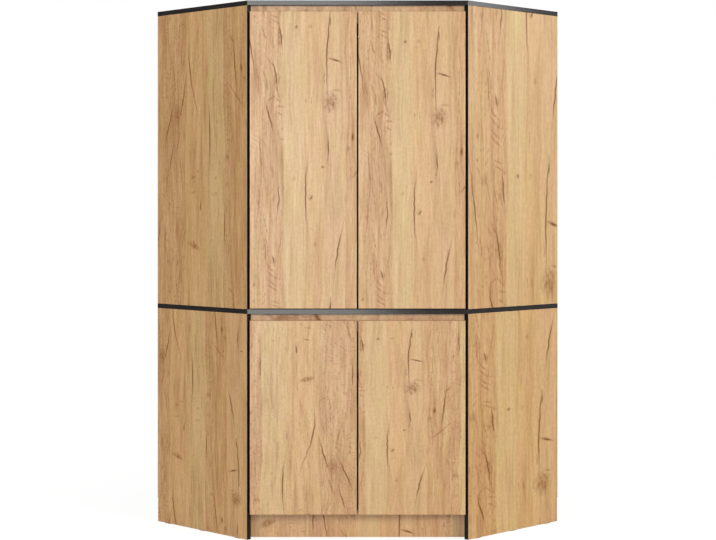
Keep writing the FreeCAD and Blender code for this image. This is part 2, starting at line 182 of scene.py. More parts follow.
class OakDecorSettings(bpy.types.PropertyGroup):
    """The printed oak decor"""
    amber: colour("Amber stave", "Dark warm stave", "#C79B62")
    cream: colour("Cream stave", "Lightest stave", "#D1AF75")
    straw: colour("Straw stave", "Yellowish stave", "#D0A76C")
    honey: colour("Honey stave", "Warm light stave", "#CFA770")
    tan: colour("Tan stave", "Dark stave, a little greyer", "#C79C66")
    pale: colour("Early wood", "Pale lines of the grain", "#EBCA94")
    figure: colour("Late wood", "Brown lines of the grain and the figure", "#915D2B")
    bark: colour("Knot", "Wood round a knot and strokes of the figure", "#885208")
    crack: colour("Crack", "Printed cracks and knot hearts", "#74481B")
    print_width: length("Print width", "Width after which the decor repeats", 850)
    print_length: length("Print length", "Length after which the decor repeats", 1055)
    grain_width: length("Grain width", "Distance between light and dark grain lines", 11)
    grain_length: length("Grain length", "Length over which a grain line fades", 240)
    pore_width: length("Pore width", "Width of a row of pores, drawn wide enough to show", 3.6)
    pore_length: length("Pore length", "Length of a row of pores", 60)
    ring_step: length("Ring step", "Thickness of one year's growth, drawn wide enough to show", 14)
    blend: length("Stave joint", "Half width over which two staves blend", 5)
    grain_depth: share("Grain contrast", "How much the grain lines tint the print", 0.7)
    pore_depth: share("Pore contrast", "How much the rows of pores tint the print", 0.17)
    blush: share("Blush", "How far patches of the wood turn pink or yellow", 0.02)
    roughness: share("Roughness", "Roughness of the melamine face", 0.52)


class FinishSettings(bpy.types.PropertyGroup):
    """Colours of the other finishes"""
    black_face: colour("Black laminate", "Face and edge of the black panels", "#24211F")
    black_band: colour("Black edge band", "Bands on the front ends of the sides", "#0D0806")
    fibre: colour("Hardboard", "Raw back of the thin sheets", "#8A6844")
    lacquer: colour("Lacquered face", "Face of the thin sheets inside", "#D8C3A2")
    nickel: colour("Nickel", "Nickel plate on pressed steel", "#C3BDB3")
    chrome: colour("Chrome", "Chrome plate on the tube", "#DADBDD")
    plastic: colour("Black plastic", "Moulded caps and glides", "#1C1C1D")
    rubber: colour("Bumper", "Milky soft bumper", "#CFCFCB")


class FastenerSettings(bpy.types.PropertyGroup):
    """Screws and nails"""
    head_radius: length("Screw head", "Radius of a pan head", 3.6)
    head_height: length("Head height", "Height of a pan head", 1.8)
    slot_width: length("Cross width", "Width of one arm of the cross recess", 1.0)
    slot_depth: length("Cross depth", "Depth of the cross recess", 1.1)
    nail_radius: length("Nail head", "Radius of a back nail's head", 2.2)
    nail_height: length("Nail height", "How far a nail head stands off the sheet", 0.6)
    nail_step: length("Nail step", "Distance between nails", 150)
    sides: IntProperty(name="Sides", description="Sides of a round head", default=20, min=8)


class StageSettings(bpy.types.PropertyGroup):
    """Floor, light and camera"""
    floor_half: length("Floor", "Half width of the floor", 14000)
    ambient: share("Ambient", "Strength of the white surroundings", 0.45, 10)
    key_power: watts("Key", "Power of the large light on the right", 1630)
    fill_power: watts("Fill", "Power of the large light on the left", 1015)
    fill_tint: colour("Fill tint", "Colour of the large light on the left", "#FFF9FD")
    card_power: watts("Left card", "Power of the card behind the camera", 880)
    side_power: watts("Right card", "Power of the card on the right", 225)
    flag_grey: colour("Flag", "Grey cloth on the left, seen only in reflections", "#C8C8C8")
    lens: FloatProperty(name="Lens", description="Focal length", default=85.4, unit="CAMERA")
    distance: length("Distance", "Camera distance in front of the origin", 6865)
    eye: length("Eye height", "Camera height", 1242)
    rise: FloatProperty(name="Rise", description="Vertical shift of the lens", default=-0.0908)
    slide: FloatProperty(name="Slide", description="Sideways shift of the lens", default=0.00055)


class WardrobeSettings(bpy.types.PropertyGroup):
    """All settings of the wardrobe"""
    oak: PointerProperty(type=OakDecorSettings)
    finish: PointerProperty(type=FinishSettings)
    fastener: PointerProperty(type=FastenerSettings)
    stage: PointerProperty(type=StageSettings)


# The decor is one print. Every place on it is in millimetres: across from its left edge, and
# along the grain from its top edge.


class Mark(NamedTuple):
    """A crack, stroke or knot: its middle, half sizes, lean to the right at the lower end, and bow."""
    across: float
    along: float
    half_width: float
    half_length: float
    lean: float = 0.0
    bow: float = 0.0


class Stave(NamedTuple):
    """One stave of the print: where it starts, its tone, the run of its grain from 0 to 1, the line
    across of the log's heart, and the strength of its figure."""
    start: float
    tone: str
    run: float
    heart: float
    figure: float


STAVES = (
    Stave(0, "amber", 0.11, 42, 0.45),
    Stave(124, "cream", 0.83, -80, 0.1),
    Stave(203, "straw", 0.42, -40, 0.14),
    Stave(275, "honey", 0.29, 90, 0.14),
    Stave(351, "amber", 0.67, 640, 0.36),
    Stave(433, "tan", 0.68, 480, 0.55),
    Stave(476, "cream", 0.05, 720, 0.25),
    Stave(569, "straw", 0.91, 400, 0.26),
    Stave(691, "tan", 0.36, 770, 0.58),
    Stave(830, "tan", 0.54, 640, 0.5),
)
# How far a heart may lie to either side, and how far the grain and the stave joints sway.
HEART_SPAN = 1000.0
GRAIN_SWAY = 16.0
JOINT_SWAY = 12.0

CRACKS = (
    Mark(287, 137, 1.9, 118, -2.7, 4.2),
    Mark(319, 182, 2.6, 13, 72),
    Mark(115, 91, 1.7, 32, 6),
    Mark(97, 240, 1.9, 42, 9, -2),
    Mark(72, 390, 1.9, 36, 16),
    Mark(3, 130, 1.7, 68, 9),
    Mark(853, 130, 1.7, 68, 9),
    Mark(291, 503, 1.8, 24),
    Mark(206, 678, 2.0, 78, 0, 3),
    Mark(107, 698, 1.7, 42, -3, -2),
    Mark(325, 889, 2.0, 60, -9.5, 1.5),
    Mark(298, 33, 1.7, 12),
    Mark(606, 1036, 1.8, 18, 4),
    Mark(668, 457, 2.0, 86, -7, -5),
    Mark(554, 743, 1.9, 90, -1, 2.5),
    Mark(708, 580, 1.8, 62, 12),
    Mark(788, 687, 1.8, 56, 17),
    Mark(774, 828, 1.7, 38, 10),
    Mark(813, 131, 1.8, 42),
    Mark(472, 74, 1.7, 46),
    Mark(416, 451, 1.8, 75, -5),
    Mark(173, 56, 1.8, 2.4),
    Mark(381, 464, 2.2, 8),
    Mark(228, 690, 1.5, 6, -20),
    Mark(87, 921, 1.8, 11, 12),
    Mark(268, 576, 2.2, 3),
)

# Strokes of the figure: softer and paler than the cracks.
STROKES = (
    Mark(52, 75, 2.4, 30, 16),
    Mark(87, 112, 2.4, 30, 14),
    Mark(78, 190, 2.6, 20, 38),
    Mark(105, 302, 2.4, 30, 21),
    Mark(60, 258, 2.4, 30, 15),
    Mark(30, 232, 2.2, 30, 6),
    Mark(64, 345, 2.6, 22, -4),
    Mark(78, 321, 2.6, 14, -57),
    Mark(101, 325, 2.6, 18, 51),
    Mark(113, 352, 3.2, 12, 78),
    Mark(110, 378, 3.4, 14, 62),
    Mark(277, 248, 2.2, 22),
    Mark(306, 177, 3.4, 16, 74),
    Mark(208, 330, 2.2, 13),
    Mark(227, 332, 2.2, 12),
    Mark(321, 292, 2.6, 13, 86),
    Mark(86, 596, 2.2, 20),
    Mark(40, 520, 2.2, 60, 4),
    Mark(34, 700, 2.2, 70, -5),
    Mark(60, 800, 2.4, 46, 12),
    Mark(112, 860, 2.4, 40, -12),
    Mark(372, 590, 2.2, 70, 3),
    Mark(372, 240, 2.2, 90, -2),
    Mark(451, 163, 2.2, 22),
    Mark(455, 700, 2.2, 80, 2),
    Mark(620, 300, 2.2, 40, 4),
    Mark(730, 300, 2.6, 60, 8),
    Mark(760, 470, 2.6, 60, -10),
    Mark(735, 760, 2.6, 50, 14),
    Mark(716, 900, 2.4, 70, -6),
    Mark(800, 930, 2.6, 60, 8),
    Mark(645, 150, 7.5, 24, -64),
    Mark(640, 143, 4.0, 14, -40),
    Mark(648, 914, 4.2, 12, 74),
    Mark(646, 979, 4.4, 13, 76),
    Mark(622, 890, 3.0, 8, -50),
    Mark(286, 341, 4.6, 15, -14),
    Mark(298, 334, 5.2, 24, 16),
    Mark(309, 342, 4.4, 18, 8),
    Mark(298, 362, 4.0, 12, -20),
    Mark(311, 316, 4.0, 12, 28),
    Mark(287, 548, 2.0, 14, -10),
    Mark(277, 576, 2.0, 9, 80),
    Mark(788, 345, 3.0, 24, -10),
    Mark(804, 536, 2.2, 34),
    Mark(633, 610, 2.4, 70, -13),
    Mark(570, 470, 3.0, 24),
    Mark(515, 312, 1.8, 20),
    Mark(536, 550, 1.8, 45),
    Mark(408, 577, 3.4, 50, -37),
    Mark(432, 342, 3.2, 20, -40),
    Mark(429, 757, 3.0, 18, 5),
    Mark(76, 950, 3.0, 26, 44, 4),
    Mark(84, 979, 3.2, 22, 54, 4),
    Mark(78, 1002, 3.2, 24, 52, 4),
    Mark(86, 1024, 3.0, 20, 58, 3),
    Mark(94, 20, 2.2, 16, 70),
    Mark(94, 36, 2.2, 16, 64),
    Mark(58, 885, 2.2, 48, 4, -4),
    Mark(66, 880, 2.0, 40, 6, -4),
)

KNOTS = (
    Mark(297, 334, 33, 40),
    Mark(173, 56, 7, 8),
    Mark(223, 56, 8, 9),
    Mark(100, 250, 14, 20),
    Mark(110, 95, 10, 34),
    Mark(381, 464, 9, 18),
    Mark(363, 508, 9, 12),
    Mark(225, 689, 9, 10),
    Mark(86, 923, 9, 18),
    Mark(119, 436, 5, 6),
    Mark(120, 473, 7, 6),
    Mark(164, 620, 6, 8),
    Mark(355, 691, 5, 15),
    Mark(242, 865, 6, 13),
    Mark(17, 18, 4, 6),
    Mark(17, 1010, 4, 6),
    Mark(520, 920, 6, 8),
    Mark(520, 983, 6, 8),
    Mark(512, 682, 6, 9),
    Mark(645, 150, 14, 34, -64),
    Mark(457, 837, 10, 14),
    Mark(740, 640, 16, 40, 10),
)


class Ink(NamedTuple):
    """How a set of marks is printed: the marks, how far they fade out, their strength and tint, and
    whether the wood beside them is stained."""
    marks: tuple
    reach: float
    strength: float
    tint: str
    stained: bool = False


INKS = (
    Ink(KNOTS, 1.8, 0.48, "bark"),
    Ink(STROKES, 2.4, 0.6, "bark"),
    Ink(CRACKS, 2.2, 0.85, "crack", True),
)
# The edges of marks wander: over what distance, and how far.
WANDER_STEP = 38.0
WANDER_REACH = 8.0


class Pattern(NamedTuple):
    """An uneven pattern of the print: how wide and long its spots are, and how rough they are."""
    wide: float
    long: float
    detail: float
    rough: float = 0.5


# Patterns that lie still on the board, and patterns that follow each stave's own grain.
BOARD_PATTERNS = {
    "sway": Pattern(70, 240, 1.0),
    "patch": Pattern(46, 150, 2.0),
    "fleck": Pattern(9, 14, 3.0, 0.7),
}
GRAIN_PATTERNS = {
    "drift": Pattern(34, 420, 2.0),
    "lean": Pattern(260, 300, 2.0, 0.4),
    "ripple": Pattern(12, 48, 3.0),
}

# How the patterns become tint, lines, gloss and relief: what goes in, and what comes out.
DRIFT_GAIN = 0.9
DRIFT_LIFT = 0.05
LINE_SPREAD = 0.5
PORE_SPREAD = 0.3
RIPPLE_REACH = 15.0
GLOSS_SPREAD = 0.05
CALM = {"From Min": 0.1, "From Max": 0.5, "To Min": 0.65, "To Max": 0.85}
PATCHES = {"From Min": 0.35, "From Max": 0.65}
LOG_LEAN = {"From Min": 0.2, "From Max": 0.8, "To Min": -40.0, "To Max": 210.0}
LATE_WOOD = {"From Min": 0.35, "From Max": 1.0}
BROKEN_LINES = {"From Min": 0.9, "From Max": 1.25}
FLECKS = {"From Min": 0.35, "From Max": 0.65, "To Min": 0.35}
MOTTLE = {"From Min": 0.35, "To Max": 0.16}
STAIN = {"From Min": 7.0, "From Max": 0.5, "To Max": 0.4}
EMBOSSED_SHINE = {"From Min": 0.05, "From Max": 0.3, "To Max": 0.5}
EMBOSS = {"Strength": 0.12, "Distance": 0.3 * MM}


# The way that across runs on a side that faces so, in degrees round the upright.
FACING_FRONT = 0.0
FACING_LEFT = 135.0
FACING_RIGHT = 45.0


class Lay(NamedTuple):
    """How a board is cut from the print: where on the print its upper corner lies, how much the print
    is stretched, the way that across runs, and which upper corner is meant."""
    across: float
    along: float
    wide: float = 1.0
    long: float = 1.0
    heading: float = FACING_FRONT
    start: str = "left"


LAYS = {
    "upper_left_door": Lay(0, 0),
    "upper_right_door": Lay(0, -55),
    "lower_left_door": Lay(433, -183, 1, 0.652),
    "lower_right_door": Lay(100, -45, 1, 0.652),
    "upper_left_side": Lay(342, 210, 1.045, 0.9, FACING_LEFT, "right"),
    "lower_left_side": Lay(230, 369.5, 1, 0.68, FACING_LEFT, "right"),
    "upper_right_side": Lay(-25, 684.5, 1.5, 1.48, FACING_RIGHT),
    "lower_right_side": Lay(22, 767, 1.6, 1.085, FACING_RIGHT),
    "plinth_board": Lay(530, 110),
    # The rails are cut from the dark tan and amber staves, stretched wide so that the grain looks even. Their
    # darker tone is painted shade for their recess under the black panels.
    "upper_front_rail": Lay(695, 420, 3.2),
    "lower_front_rail": Lay(695, 640, 3.2),
    "upper_left_post": Lay(140, 40, heading=FACING_RIGHT),
    "upper_right_post": Lay(480, 90, heading=FACING_LEFT),
    "lower_left_post": Lay(210, 320, heading=FACING_RIGHT),
    "lower_right_post": Lay(560, 10, heading=FACING_LEFT),
    "corner_legs": Lay(300, 700, heading=FACING_RIGHT),
}
# Boards that lie flat: where on the print the left front corner of their box lies.
FLAT_BOARDS = {"base_panel": (120, 300), "lower_shelf": (510, 80)}
# How far a normal points sideways or endways on the edges of a board, at the least.
EDGE_FACING = 0.75


def decor_print(oak):
    """The oak decor as a node group: a place in millimetres in, colour, roughness, shine and height out."""
    tree = node_group("oak_decor_print", {"Place": "Vector"},
                      {"Color": "Color", "Roughness": "Float", "Shine": "Float", "Height": "Float"})
    width = oak.print_width / MM
    repeat = oak.print_length / MM
    raw = add(tree, SEPARATE, {0: add(tree, "NodeGroupInput")})
    across = add(tree, MATH, {0: raw.outputs["X"], 1: width, 2: 0.0}, operation="WRAP")
    along = add(tree, MATH, {0: raw.outputs["Y"], 1: repeat, 2: 0.0}, operation="WRAP")
    spot = add(tree, COMBINE, {"X": across, "Y": raw.outputs["Y"]})
    noises = patterned(tree, spot, BOARD_PATTERNS)

    # Staves: bands of slightly different oak with soft, wavering joints. Each has its own run of
    # grain and its own heart.
    sway = noises["sway"]
    swayed = add(tree, MATH, {0: sway, 1: GRAIN_SWAY, 2: across}, operation="MULTIPLY_ADD")
    fraction = add(tree, MATH, {0: sway, 1: JOINT_SWAY / width, 2: -JOINT_SWAY / 2 / width},
                   operation="MULTIPLY_ADD")
    fraction = add(tree, MATH, {0: across, 1: 1 / width, 2: fraction}, operation="MULTIPLY_ADD")
    tones = [getattr(oak, stave.tone) for stave in STAVES]
    tone = stave_bands(tree, fraction, tones, width, oak.blend / MM)
    cut = [(stave.run, 0.5 + stave.heart / HEART_SPAN / 2, stave.figure) for stave in STAVES]
    cut = add(tree, "ShaderNodeSeparateColor", {0: stave_bands(tree, fraction, cut, width, 0)})
    run = add(tree, MATH, {0: cut.outputs["Red"], 1: repeat, 2: raw.outputs["Y"]}, operation="MULTIPLY_ADD")
    grain_place = add(tree, COMBINE, {"X": swayed, "Y": run})
    grain = {
        "streaks": Pattern(oak.grain_width / MM, oak.grain_length / MM, 3.0, 0.62),
        "pores": Pattern(oak.pore_width / MM, oak.pore_length / MM, 2.0, 0.7),
    }
    noises.update(patterned(tree, grain_place, {**grain, **GRAIN_PATTERNS}))

    # The print is laid down in layers: an amount, a tint and the way that it is put on.
    layers = grain_layers(tree, oak, noises, cut.outputs["Blue"])
    layers.append((1.0, blushes(tree, oak, noises["patch"]), "MULTIPLY"))
    layers.append((growth_rings(tree, oak, noises, swayed, cut), (*oak.figure, 1), "MIX"))
    layers += mark_layers(tree, oak, noises["fleck"], spot, across, along)
    wood = tone.outputs[0]
    for amount, tint, blend in layers:
        wood = add(tree, MIX, {0: amount, 6: wood, 7: tint}, data_type="RGBA", blend_type=blend).outputs[2]

    gloss = add(tree, RANGE, {"Value": noises["streaks"], **ONE_NOISE, "To Min": oak.roughness - GLOSS_SPREAD,
                              "To Max": oak.roughness + GLOSS_SPREAD})
    # The plate presses pores and cracks in, so the darker the print, the less it shines.
    bright = add(tree, "ShaderNodeRGBToBW", {0: wood})
    shine = add(tree, RANGE, {"Value": bright, **EMBOSSED_SHINE})
    add(tree, "NodeGroupOutput", {"Color": wood, "Roughness": gloss, "Shine": shine,
                                  "Height": noises["pores"]})
    return tree


def patterned(tree, place, patterns):
    """The noises of a table of patterns, all laid on one place."""
    noises = {}
    for name, pattern in patterns.items():
        scale = (1 / pattern.wide, 1 / pattern.long, 1)
        small = add(tree, VECTOR, {0: place, 1: scale}, operation="MULTIPLY")
        noises[name] = add(tree, NOISE, {"Vector": small, "Scale": 1.0, "Detail": pattern.detail,
                                         "Roughness": pattern.rough}, noise_dimensions="2D")
    return noises


def grain_layers(tree, oak, noises, figured):
    """Grain lines, pores, and slow drifts of tone along a stave: early wood is pale and late wood brown."""
    both = add(tree, MATH, {0: noises["drift"], 1: DRIFT_GAIN, 2: DRIFT_LIFT}, operation="MULTIPLY_ADD")
    both = add(tree, MATH, {0: noises["streaks"], 1: both}, operation="ADD")
    calm = add(tree, RANGE, {"Value": figured, **CALM})
    layers = []
    for tint, sign in ((oak.pale, -1), (oak.figure, 1)):
        lines = add(tree, RANGE, {"Value": both, "From Min": 2 * NOISE_MIDDLE,
                                  "From Max": 2 * NOISE_MIDDLE + LINE_SPREAD * sign,
                                  "To Max": oak.grain_depth})
        dots = add(tree, RANGE, {"Value": noises["pores"], "From Min": NOISE_MIDDLE,
                                 "From Max": NOISE_MIDDLE + PORE_SPREAD * sign, "To Max": oak.pore_depth})
        amount = add(tree, MATH, {0: lines, 1: dots}, operation="ADD")
        amount = add(tree, MATH, {0: amount, 1: calm}, operation="MULTIPLY")
        layers.append((amount, (*tint, 1), "MIX"))
    return layers


def blushes(tree, oak, patch):
    """Patches of the wood that turn a little pink or yellow."""
    patch = add(tree, RANGE, {"Value": patch, **PATCHES})
    pink = (1 + oak.blush, 1 - oak.blush, 1 + oak.blush, 1)
    yellow = (1.0, 1 + oak.blush / 2, 1 - 2 * oak.blush, 1)
    return add(tree, MIX, {0: patch, 6: pink, 7: yellow}, data_type="RGBA").outputs[2]


def growth_rings(tree, oak, noises, swayed, cut):
    """Lines of late wood at even distances from the log's heart. The log leans and swells along the
    board, so a stave near the heart shows arches and one far from it straight lines."""
    heart = add(tree, RANGE, {"Value": cut.outputs["Green"], "To Min": -HEART_SPAN, "To Max": HEART_SPAN})
    off = add(tree, MATH, {0: swayed, 1: heart}, operation="SUBTRACT")
    deep = add(tree, RANGE, {"Value": noises["lean"], **LOG_LEAN})
    flat = add(tree, COMBINE, {"X": off, "Y": deep})
    radius = add(tree, VECTOR, {0: flat}, operation="LENGTH").outputs["Value"]
    radius = add(tree, MATH, {0: noises["ripple"], 1: RIPPLE_REACH, 2: radius}, operation="MULTIPLY_ADD")
    year = add(tree, MATH, {0: radius, 1: oak.ring_step / MM}, operation="DIVIDE")
    year = add(tree, MATH, {0: year}, operation="FRACT")
    late = add(tree, RANGE, {"Value": year, **LATE_WOOD}, interpolation_type="SMOOTHSTEP")
    broken = add(tree, MATH, {0: noises["pores"], 1: noises["ripple"]}, operation="ADD")
    broken = add(tree, RANGE, {"Value": broken, **BROKEN_LINES})
    late = add(tree, MATH, {0: late, 1: broken}, operation="MULTIPLY")
    return add(tree, MATH, {0: late, 1: cut.outputs["Blue"]}, operation="MULTIPLY")


def mark_layers(tree, oak, fleck, spot, across, along):
    """A mottle of small flecks, then knots, strokes and cracks whose edges wander a little."""
    wander = add(tree, NOISE, {"Vector": spot, "Scale": 1 / WANDER_STEP, "Detail": 3.0},
                 noise_dimensions="2D")
    wander = add(tree, "ShaderNodeSeparateColor", {0: wander.outputs["Color"]})
    loose = []
    for straight, pushed in ((across, wander.outputs["Red"]), (along, wander.outputs["Green"])):
        push = add(tree, MATH, {0: pushed, 1: NOISE_MIDDLE}, operation="SUBTRACT")
        loose.append(add(tree, MATH, {0: push, 1: WANDER_REACH, 2: straight}, operation="MULTIPLY_ADD"))
    fleck = add(tree, RANGE, {"Value": fleck, **FLECKS})
    mottle = add(tree, RANGE, {"Value": fleck, **MOTTLE})
    brown = (*oak.figure, 1)
    layers = [(mottle, brown, "MIX")]
    for ink in INKS:
        near = marks(tree, *loose, ink.marks)
        amount = add(tree, RANGE, {"Value": near, "From Min": ink.reach, "From Max": 0.0,
                                   "To Max": ink.strength}, interpolation_type="SMOOTHSTEP")
        if ink.stained:
            stain = add(tree, RANGE, {"Value": near, **STAIN}, interpolation_type="SMOOTHSTEP")
            layers.append((stain, brown, "MIX"))
        else:
            amount = add(tree, MATH, {0: amount, 1: fleck}, operation="MULTIPLY")
        layers.append((amount, (*getattr(oak, ink.tint), 1), "MIX"))
    return layers


def stave_bands(tree, fraction, colours, width, blend):
    """A ramp with one flat band for each stave of the print, which may blend at the joints."""
    bands = add(tree, "ShaderNodeValToRGB", {0: fraction})
    bands.color_ramp.interpolation = "LINEAR" if blend else "CONSTANT"
    stops = bands.color_ramp.elements
    stops.remove(stops[1])
    ends = [stave.start for stave in STAVES[1:]] + [width]
    for stave, end, value in zip(STAVES, ends, colours):
        stop = stops[0] if stave.start == 0 else stops.new((stave.start + blend) / width)
        stop.color = (*value, 1)
        if blend:
            stops.new((end - blend) / width).color = (*value, 1)
    return bands


def marks(tree, across, along, spots):
    """The square of the distance to the nearest mark, in which a mark's own edge is at 1."""
    nearest = None
    for mark in spots:
        turn = math.radians(mark.lean)
        sine = math.sin(turn)
        cosine = math.cos(turn)
        sides = []
        for right, down, half in ((cosine, -sine, mark.half_width), (sine, cosine, mark.half_length)):
            start = -(right * mark.across + down * mark.along) / half
            part = add(tree, MATH, {0: along, 1: down / half, 2: start}, operation="MULTIPLY_ADD")
            sides.append(add(tree, MATH, {0: across, 1: right / half, 2: part}, operation="MULTIPLY_ADD"))
        side, run = sides
        square = add(tree, MATH, {0: run, 1: run}, operation="MULTIPLY")
        if mark.bow:
            side = add(tree, MATH, {0: square, 1: -mark.bow / mark.half_width, 2: side},
                       operation="MULTIPLY_ADD")
        far = add(tree, MATH, {0: side, 1: side, 2: square}, operation="MULTIPLY_ADD")
        nearest = add(tree, MATH, {0: nearest, 1: far}, operation="MINIMUM") if nearest else far
    return nearest


def board_edges():
    """A node group that carries the print round a board's edges."""
    tree = node_group("board_edges", {"Place": "Vector", "Facing": "Vector"}, {"Place": "Vector"})
    given = add(tree, "NodeGroupInput")
    place = add(tree, SEPARATE, {0: given.outputs["Place"]})
    facing = add(tree, VECTOR, {0: given.outputs["Facing"]}, operation="ABSOLUTE")
    facing = add(tree, SEPARATE, {0: facing})
    on_side = add(tree, MATH, {0: facing.outputs["X"], 1: EDGE_FACING}, operation="GREATER_THAN")
    on_end = add(tree, MATH, {0: facing.outputs["Y"], 1: EDGE_FACING}, operation="GREATER_THAN")
    across = add(tree, MATH, {0: on_side, 1: place.outputs["Z"], 2: place.outputs["X"]},
                 operation="MULTIPLY_ADD")
    face = add(tree, COMBINE, {"X": across, "Y": place.outputs["Y"]})
    end = add(tree, COMBINE, {"X": place.outputs["Z"], "Y": place.outputs["X"]})
    chosen = add(tree, MIX, {0: on_end, 4: face, 5: end}, data_type="VECTOR")
    add(tree, "NodeGroupOutput", {0: chosen.outputs[1]})
    return tree


def board_melamine(name, turn, scale, start, spot, groups):
    """Melamine board pressed with the oak print: satin, even, with a faint embossed grain."""
    turned = turn.to_matrix()
    offset = Vector((*spot, 0)) - turned @ Vector(a * b for a, b in zip(scale, start))

    def links(tree):
        coords = add(tree, COORDS)
        place = add(tree, "ShaderNodeMapping", {"Vector": coords.outputs["Object"], "Location": offset,
                                                "Rotation": turn, "Scale": scale})
        facing = add(tree, "ShaderNodeMapping", {"Vector": coords.outputs["Normal"], "Rotation": turn},
                     vector_type="VECTOR")
        edged = add(tree, "ShaderNodeGroup", {"Place": place, "Facing": facing}, node_tree=groups["edges"])
        printed = add(tree, "ShaderNodeGroup", {"Place": edged}, node_tree=groups["print"])
        bump = add(tree, "ShaderNodeBump", {"Height": printed.outputs["Height"], **EMBOSS})
        return {"Base Color": printed.outputs["Color"], "Roughness": printed.outputs["Roughness"],
                "Specular IOR Level": printed.outputs["Shine"], "Normal": bump}

    return shade("oak_print_melamine_" + name, {"IOR": 1.45}, links)


class WARDROBE_OT_oak_boards(bpy.types.Operator):
    """Dress the doors, sides, rails, plinth and inner boards in the oak decor"""
    bl_idname = "wardrobe.oak_boards"
    bl_label = "Oak decor boards"

    def execute(self, context):
        groups = {"print": decor_print(context.scene.wardrobe.oak), "edges": board_edges()}
        stand = Matrix.Rotation(math.radians(90), 3, "X")
        for node in nodes_of("oak_laminate"):
            low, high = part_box(node)
            if node in FLAT_BOARDS:
                turn = Matrix.Rotation(math.radians(-90), 3, "Z").to_euler()
                scale = (1 / MM, 1 / MM, 1 / MM)
                material = board_melamine(node, turn, scale, low, FLAT_BOARDS[node], groups)
            else:
                lay = LAYS[node]
                turn = (stand @ Matrix.Rotation(math.radians(-lay.heading), 3, "Z")).to_euler()
                scale = (1 / MM / lay.wide, 1 / MM / lay.wide, 1 / MM / lay.long)
                start = Vector((low.x if lay.start == "left" else high.x, low.y, high.z))
                material = board_melamine(node, turn, scale, start, (lay.across, lay.along), groups)
            dress(node, material)
        return {"FINISHED"}


# How coarse the slow clouds in a pearl texture are, as a share of its own scale, and its relief.
CLOUD_SHARE = 0.04
PEARL_BUMP = {"Strength": 0.08, "Distance": 0.2 * MM}


def pearl(tree, grain, low, high):
    """Links of a fine pearl texture, uneven gloss and a faint bump, and its noise. The real texture is
    about 0.4 mm; it is drawn at the grain given, in millimetres, so that it shows."""
    where = add(tree, COORDS).outputs["Object"]
    fine = 1 / (grain * MM)
    speck = add(tree, NOISE, {"Vector": where, "Scale": fine, "Detail": 4.0})
    cloud = add(tree, NOISE, {"Vector": where, "Scale": CLOUD_SHARE * fine, "Detail": 2.0})
    both = add(tree, MATH, {0: speck, 1: cloud}, operation="ADD")
    gloss = add(tree, RANGE, {"Value": both, **TWO_NOISES, "To Min": low, "To Max": high})
    bump = add(tree, "ShaderNodeBump", {"Height": speck, **PEARL_BUMP})
    return {"Roughness": gloss, "Normal": bump}, both


def tinted(tree, value, colour, spread):
    """A colour that a noise makes a little lighter and darker."""
    light = add(tree, RANGE, {"Value": value, **TWO_NOISES, "To Min": 1 - spread, "To Max": 1 + spread})
    return add(tree, MIX, {0: 1.0, 6: (*colour, 1), 7: light}, data_type="RGBA",
               blend_type="MULTIPLY").outputs[2]


def grained(name, colour, spread, grain, low, high, **values):
    """A material of one colour with a fine pearl texture."""

    def links(tree):
        made, value = pearl(tree, grain, low, high)
        return {**made, "Base Color": tinted(tree, value, colour, spread)}

    return shade(name, {key.replace("_", " "): value for key, value in values.items()}, links)


# Where a black board's face begins, by how far its normal points up or down, and how dull it is.
FACE_SPAN = {"From Min": 0.5, "From Max": 0.8}
FACE_ROUGHNESS = 0.5
FACE_SHINE = 0.2
EDGE_SHINE = 0.5


class WARDROBE_OT_black_boards(bpy.types.Operator):
    """Dress the two black panels and the black edge bands"""
    bl_idname = "wardrobe.black_boards"
    bl_label = "Black panels and bands"

    def execute(self, context):
        finish = context.scene.wardrobe.finish

        # Black melamine board with ABS edging: the pressed faces are nearly matt, and the buffed
        # edges have a soft grey sheen.
        def links(tree):
            made, value = pearl(tree, grain=3, low=0.12, high=0.17)
            facing = add(tree, SEPARATE, {0: add(tree, COORDS).outputs["Normal"]})
            flat = add(tree, MATH, {0: facing.outputs["Z"]}, operation="ABSOLUTE")
            face = {"Value": flat, **FACE_SPAN}
            gloss = add(tree, RANGE, {**face, "To Min": made["Roughness"], "To Max": FACE_ROUGHNESS})
            shine = add(tree, RANGE, {**face, "To Min": EDGE_SHINE, "To Max": FACE_SHINE})
            return {"Normal": made["Normal"], "Roughness": gloss, "Specular IOR Level": shine,
                    "Base Color": tinted(tree, value, finish.black_face, spread=0.12)}

        panel = shade("black_satin_melamine", {"IOR": 1.24}, links)
        # Black ABS edging, extruded and buffed: deeper, with a slight warm cast.
        band = grained("black_abs_edging", finish.black_band, spread=0.12, grain=3, low=0.4, high=0.5,
                       IOR=1.25)
        for node in nodes_of("black_laminate"):
            dress(node, panel)
        for node in nodes_of("black_edging"):
            dress(node, band)
        return {"FINISHED"}


# How far a normal points to the room on the inner face of a back sheet, at the least.
INSIDE_FACING = 0.3


class WARDROBE_OT_back_sheets(bpy.types.Operator):
    """Dress the thin back sheets: raw fibre behind, lacquer inside"""
    bl_idname = "wardrobe.back_sheets"
    bl_label = "Back sheets"

    def execute(self, context):
        finish = context.scene.wardrobe.finish

        # Hard fibre sheet: a mottled brown back, and a lacquered face towards the room.
        def links(tree):
            made, value = pearl(tree, grain=5, low=0.55, high=0.75)
            normal = add(tree, COORDS).outputs["Normal"]
            facing = add(tree, VECTOR, {0: normal, 1: (0, -1, 0)}, operation="DOT_PRODUCT")
            inside = add(tree, MATH, {0: facing.outputs["Value"], 1: INSIDE_FACING}, operation="GREATER_THAN")
            raw = tinted(tree, value, finish.fibre, spread=0.22)
            face = tinted(tree, value, finish.lacquer, spread=0.03)
            mixed = add(tree, MIX, {0: inside, 6: raw, 7: face}, data_type="RGBA")
            return {**made, "Base Color": mixed.outputs[2]}

        sheet = shade("lacquered_hardboard", {"IOR": 1.45}, links)
        for node in nodes_of("hardboard"):
            dress(node, sheet)
        return {"FINISHED"}


